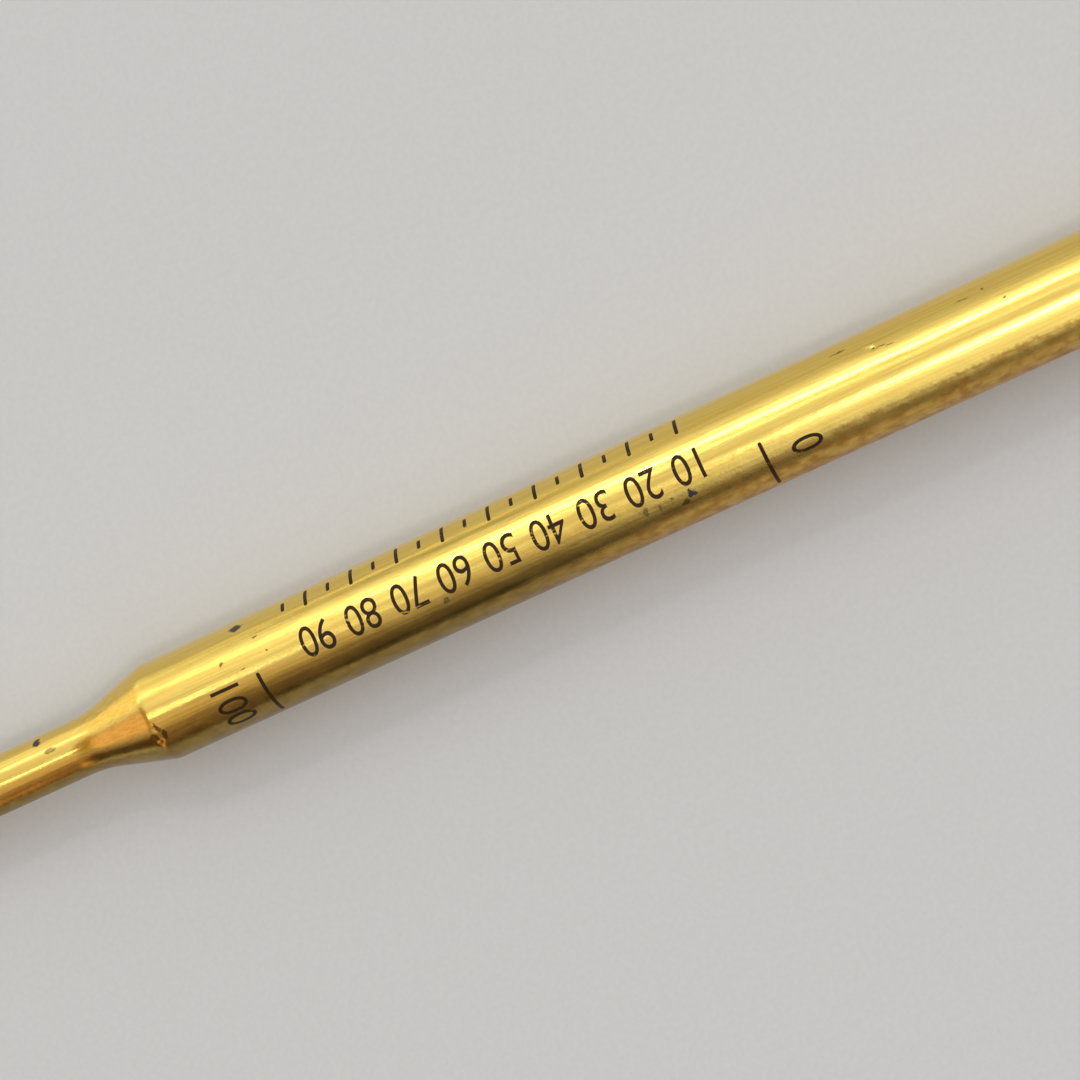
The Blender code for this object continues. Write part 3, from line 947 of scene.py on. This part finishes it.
def crown_tooth(sizes):
    """The tooth above the axis: two outlines bridged and closed, with rounded edges."""
    floor = PLUG_HIGH.x - sizes.tooth_height
    taper = (sizes.slot_mouth - sizes.slot_floor) / sizes.tooth_height
    tooth = begin_piece("crown_tooth")
    draw(tooth_outline(sizes, floor - TOOTH_ROOT, sizes.slot_floor - taper * TOOTH_ROOT), True)
    draw(tooth_outline(sizes, PLUG_HIGH.x, sizes.slot_mouth), True)
    merge_doubles()
    bpy.ops.mesh.bridge_edge_loops()
    select_mesh("SELECT")
    bpy.ops.mesh.fill_holes(sides=0)
    select_mesh("SELECT")
    bpy.ops.mesh.normals_make_consistent(inside=False)
    select_mesh("DESELECT")
    bpy.ops.mesh.select_mode(type="EDGE")
    bpy.ops.mesh.edges_select_sharp(sharpness=SMOOTH_ANGLE)
    bpy.ops.mesh.bevel(offset=sizes.tooth_edge, segments=TOOTH_EDGE_STEPS, affect="EDGES")
    bpy.ops.mesh.select_mode(type="VERT")
    close_piece(tooth)
    return tooth


class REFILL_OT_crown_plug(bpy.types.Operator):
    """Turn the moulded plug with its ribs and collar, and join the teeth of the crown to it"""

    bl_idname = "refill.crown_plug"
    bl_label = "Crown Plug"

    def execute(self, context):
        sizes = context.scene.refill_sizes
        plug = turned("crown_plug", plug_corners(sizes), PLUG_SIDES)
        for tooth in copies_round(crown_tooth(sizes), sizes.tooth_count):
            apply_boolean(plug, tooth, "UNION")
        settle(plug, blue_plastic(context.scene.refill_colours), "rear_plug")
        return {"FINISHED"}


# Height of a digit as a share of the text size, and its width as a share of the font's
DIGIT_SHARE = 0.70
DIGIT_NARROWING = 0.82

# Rounding of a bar's ends as a share of its width, and its fineness
BAR_ROUNDING = 0.4
BAR_STEPS = 4

# Width of the strips that print is cut into, and how deep its underside lies in the brass
PRINT_STEP = 0.15 * MM
PRINT_SINK = 0.004 * MM


def flat_number(body, sizes, at, around, turn):
    """A flat number whose middle lies at a station and a distance round the barrel."""
    deselect()
    bpy.ops.object.text_add(location=(at, around, 0.0), rotation=(0.0, 0.0, turn))
    bpy.context.object.scale.x = DIGIT_NARROWING
    text = bpy.context.object.data
    text.body = body
    text.size = sizes.digit_height / DIGIT_SHARE
    text.align_x = "CENTER"
    text.align_y = "CENTER"
    bpy.ops.object.convert(target="MESH")
    bpy.ops.object.transform_apply(location=True, rotation=True, scale=True)
    return bpy.context.object


def flat_bar(sizes, at, around, span):
    """A flat bar with rounded ends that runs round the barrel."""
    bar = begin_piece("bar")
    bpy.ops.mesh.primitive_plane_add(size=1.0)
    bpy.ops.transform.resize(value=(sizes.print_stroke, span, 1.0))
    bpy.ops.transform.translate(value=(at, around, 0.0))
    rounding = sizes.print_stroke * BAR_ROUNDING
    bpy.ops.mesh.bevel(offset=rounding, offset_type="ABSOLUTE", segments=BAR_STEPS, affect="VERTICES")
    set_mode("OBJECT")
    return bar


def copies_along(first, number, pitch):
    """A flat piece and its copies in a row along the barrel."""
    pieces = [first]
    for index in range(1, number):
        pieces.append(copy_of(first))
        bpy.ops.transform.translate(value=(pitch * index, 0.0, 0.0))
    return pieces


def wrap_print(name, flats, sizes):
    """Join flat print, cut it into narrow strips, thicken it and lay it round the barrel."""
    select(flats)
    bpy.ops.object.join()
    piece = bpy.context.object
    piece.name = name
    piece.data.name = name
    sides = [vertex.co.y for vertex in piece.data.vertices]
    cut = min(sides) + PRINT_STEP
    set_mode("EDIT")
    while cut < max(sides):
        select_mesh("SELECT")
        bpy.ops.mesh.bisect(plane_co=(0.0, cut, 0.0), plane_no=(0.0, 1.0, 0.0))
        cut += PRINT_STEP
    merge_doubles()
    thickness = sizes.print_film + PRINT_SINK
    bpy.ops.mesh.extrude_region_move(TRANSFORM_OT_translate={"value": (0.0, 0.0, thickness)})
    set_mode("OBJECT")
    for vertex in piece.data.vertices:
        radius = BARREL_RADIUS - PRINT_SINK + vertex.co.z
        vertex.co = on_barrel(vertex.co.x, vertex.co.y / BARREL_RADIUS, radius)
    set_mode("EDIT")
    close_piece(piece)
    return piece


# Rows of print: how far round from the top line, towards +Y
NUMBER_ROW = 0.2 * MM
TICK_ROW = 3.0 * MM
END_ROW = -1.5 * MM

# How the numbers of the two rows are turned
NUMBER_TURN = math.pi
END_TURN = -math.pi / 2

# Where the numbers at the two ends of the scale stand, and where the bar beside each of them lies
FRONT_END = -15.7 * MM
REAR_END = 20.4 * MM
BAR_AWAY = 2.3 * MM
BAR_ROW = -2.0 * MM

# How long the lines of the scale are, and the numbers between its ends
LONG_TICK = 1.5 * MM
SHORT_TICK = 0.8 * MM
END_BAR = 3.4 * MM
NUMBERS = range(10, 100, 10)


class REFILL_OT_printed_scale(bpy.types.Operator):
    """Print a plain scale on the barrel: numbers, ticks, and a number with a bar at each end"""

    bl_idname = "refill.printed_scale"
    bl_label = "Printed Scale"

    def execute(self, context):
        sizes = context.scene.refill_sizes
        numbers = []
        for index, number in enumerate(NUMBERS):
            at = sizes.print_start - sizes.print_pitch * index
            numbers.append(flat_number(f"{number}", sizes, at, NUMBER_ROW, NUMBER_TURN))
        between = sizes.print_start - sizes.print_pitch / 2
        ticks = []
        for at, span in ((sizes.print_start, LONG_TICK), (between, SHORT_TICK)):
            ticks += copies_along(flat_bar(sizes, at, TICK_ROW, span), len(NUMBERS), -sizes.print_pitch)
        front_bar = flat_bar(sizes, FRONT_END + BAR_AWAY, BAR_ROW, END_BAR)
        ends = copies_along(front_bar, 2, REAR_END - FRONT_END - 2 * BAR_AWAY)
        for body, at in (("100", FRONT_END), ("0", REAR_END)):
            ends.append(flat_number(body, sizes, at, END_ROW, END_TURN))
        material = black_print(context.scene.refill_colours)
        for name, flats in (("scale_numbers", numbers), ("scale_ticks", ticks), ("scale_ends", ends)):
            settle(wrap_print(name, flats, sizes), material)
        return {"FINISHED"}


# Width of the floor, distance of every lamp and reach of the camera in metres, and its sensor in millimetres
FLOOR_SIZE = 8.0
LAMP_DISTANCE = 1.4
CAMERA_NEAR = 0.005
CAMERA_FAR = 20.0
SENSOR_WIDTH = 36.0

# Lamps: degrees off the zenith to the far side (+) or near side (-), degrees of lean to the refill's rear,
# length and width in metres, and level
LAMPS = {
    "key": (50, -8, (1.8, 0.20), 1.1),
    "rear_key": (41, -2, (0.5, 0.10), 9.5),
    "middle_strip": (25, -5, (0.3, 0.05), 2.5),
    "rear_strip": (-12, 8.5, (0.45, 0.20), 7.5),
    "front_strip": (0, -21.5, (0.23, 0.13), 3.4),
}

# Level of the sky from the near side (0) over the zenith (0.5) to the far side (1)
SKY_STOPS = (
    (0.0, 0.015),
    (0.07, 0.09),
    (0.18, 0.21),
    (0.33, 0.46),
    (0.5, 0.78),
    (0.7, 0.95),
    (0.94, 0.98),
    (0.99, 0.70),
    (1.0, 0.58),
)

# Soft cards in the sky: the direction of their middle and their reach, both along X and Y, and their colour
CARDS = {
    "rear": ((0.10, -0.42), (0.26, 0.68), (1.20, 1.24, 1.34)),
    "rear_middle": ((0.04, 0.36), (0.20, 0.13), (1.14, 1.22, 1.24)),
    "far_middle": ((-0.20, 0.44), (0.10, 0.22), (1.27, 1.27, 1.25)),
    "far_front": ((-0.44, 0.95), (0.22, 0.28), (1.12, 1.14, 1.10)),
    "far_gap": ((-0.21, 0.98), (0.09, 0.10), (0.46, 0.46, 0.38)),
    "far_cone": ((-0.74, 0.68), (0.24, 0.30), (1.18, 1.04, 0.80)),
    "olive": ((-0.60, 0.04), (0.26, 0.44), (0.40, 0.28, 0.09)),
    "warm": ((-0.77, -0.09), (0.15, 0.40), (0.90, 0.58, 0.42)),
    "brown": ((-0.46, -0.75), (0.15, 0.40), (0.40, 0.22, 0.12)),
    "dark": ((-0.72, -0.76), (0.30, 0.24), (0.07, 0.04, 0.02)),
    "near_neck": ((-0.36, -0.36), (0.10, 0.26), (0.72, 0.54, 0.38)),
    "glow": ((-0.43, -0.88), (0.07, 0.10), (1.0, 0.56, 0.34)),
}

# A bright line on the far horizon: its middle and reach, both along X and up, and its colour
FAR_LINE = ((-0.20, 0.0), (0.10, 0.10), (1.3, 1.25, 1.05))

# Directions between which the sky changes: across for the tint, the horizon and the line, up for the horizon
NEAR_TINT = (-0.7, 0.1)
HORIZON_SIDE = (-0.3, 0.3)
LINE_SIDE = (0.0, 0.5)
HORIZON_TOP = (0.03, 0.09)


def facing(back):
    """Axes of a camera or lamp that looks against back, with X near the refill's axis."""
    right = (ALONG_AXIS - back * back.x).normalized()
    return Matrix((right, back.cross(right), back)).transposed().to_4x4()


def add_lamp(name, off_zenith, lean, size, radiance):
    """A flat lamp over the refill that looks at its middle, with its angles in degrees."""
    deselect()
    bpy.ops.object.light_add(type="AREA")
    lamp = bpy.context.object
    lamp.name = name
    lamp.data.shape = "RECTANGLE"
    lamp.data.size, lamp.data.size_y = size
    lamp.data.energy = radiance * math.pi * size[0] * size[1]
    turn = Matrix.Rotation(math.radians(-off_zenith), 3, "X") @ Matrix.Rotation(math.radians(lean), 3, "Y")
    back = turn.col[2]
    lamp.matrix_world = Matrix.Translation(back * LAMP_DISTANCE) @ facing(back)


def light_world(studio, colours):
    """A soft sky that falls off to the near side, with a pale far horizon and soft cards in it."""
    world = bpy.data.worlds.new("studio")
    bpy.context.scene.world = world
    start = empty_tree(world)
    along, across, up = start.node("TexCoord", output="Generated").parts()
    grey = start.node("ValToRGB", {"Fac": across * 0.5 + 0.5}, stops=SKY_STOPS)
    near = 1.0 - across.ramp(*NEAR_TINT)
    tint = {0: near, 6: grey, 7: opaque(colours.near_light)}
    light = start.node("Mix", tint, output=2, data_type="RGBA", blend_type="MULTIPLY")
    low = (1.0 - up.ramp(*HORIZON_TOP)) * across.ramp(*HORIZON_SIDE)
    light = low.blend(light, (studio.horizon, studio.horizon, studio.horizon))
    for middle, reach, shine in CARDS.values():
        light = oval(along, across, middle, reach).blend(light, shine)
    line = oval(along, up, *FAR_LINE[:2]) * across.ramp(*LINE_SIDE)
    light = line.blend(light, FAR_LINE[2])
    background = start.node("Background", {"Color": light, "Strength": 1.0})
    start.node("OutputWorld", {"Surface": background})


def aim_camera(studio):
    """Look down on the refill from near its rear end, rolled so that it rises to the right."""
    deselect()
    bpy.ops.object.camera_add()
    camera = bpy.context.object
    camera.data.lens = studio.lens
    camera.data.sensor_width = SENSOR_WIDTH
    camera.data.clip_start = CAMERA_NEAR
    camera.data.clip_end = CAMERA_FAR
    back = Vector((math.sin(studio.tilt), 0.0, math.cos(studio.tilt)))
    aim = Vector((studio.aim_station, studio.aim_across, AXIS_HEIGHT))
    roll = Matrix.Rotation(-studio.roll, 4, "Z")
    camera.matrix_world = Matrix.Translation(aim + back * studio.distance) @ facing(back) @ roll
    bpy.context.scene.camera = camera


class REFILL_OT_stage(bpy.types.Operator):
    """Lay the pale floor and set up the light and the camera"""

    bl_idname = "refill.stage"
    bl_label = "Stage"

    def execute(self, context):
        studio = context.scene.refill_studio
        deselect()
        bpy.ops.mesh.primitive_plane_add(size=FLOOR_SIZE)
        floor = context.object
        floor.name = "floor"
        floor.data.materials.append(pale_floor(context.scene.refill_colours))
        light_world(studio, context.scene.refill_colours)
        for name, (*setting, lamp_level) in LAMPS.items():
            add_lamp(name, *setting, studio.lamps * lamp_level)
        aim_camera(studio)
        context.scene.view_settings.view_transform = "Standard"
        return {"FINISHED"}


OPERATORS = (
    REFILL_OT_brass_tube,
    REFILL_OT_steel_tip,
    REFILL_OT_carbide_ball,
    REFILL_OT_paste_ink,
    REFILL_OT_crown_plug,
    REFILL_OT_printed_scale,
    REFILL_OT_stage,
)


class REFILL_PT_sidebar(bpy.types.Panel):
    """Lists the steps that build the refill"""

    bl_idname = "REFILL_PT_sidebar"
    bl_label = "Ballpoint Refill"
    bl_space_type = "VIEW_3D"
    bl_region_type = "UI"
    bl_category = "Refill"

    def draw(self, context):
        for operator in OPERATORS:
            self.layout.operator(operator.bl_idname)


GROUPS = {"refill_sizes": RefillSizes, "refill_colours": RefillColours, "refill_studio": RefillStudio}


def register():
    for group in GROUPS.values():
        bpy.utils.register_class(group)
    for name, group in GROUPS.items():
        setattr(bpy.types.Scene, name, bpy.props.PointerProperty(type=group))
    for made in (*OPERATORS, REFILL_PT_sidebar):
        bpy.utils.register_class(made)


def unregister():
    for made in reversed((*OPERATORS, REFILL_PT_sidebar)):
        bpy.utils.unregister_class(made)
    for name in GROUPS:
        delattr(bpy.types.Scene, name)
    for group in GROUPS.values():
        bpy.utils.unregister_class(group)


def main():
    register()
    bpy.ops.refill.brass_tube()
    bpy.ops.refill.steel_tip()
    bpy.ops.refill.carbide_ball()
    bpy.ops.refill.paste_ink()
    bpy.ops.refill.crown_plug()
    bpy.ops.refill.printed_scale()
    bpy.ops.refill.stage()


if __name__ == "__main__":
    main()
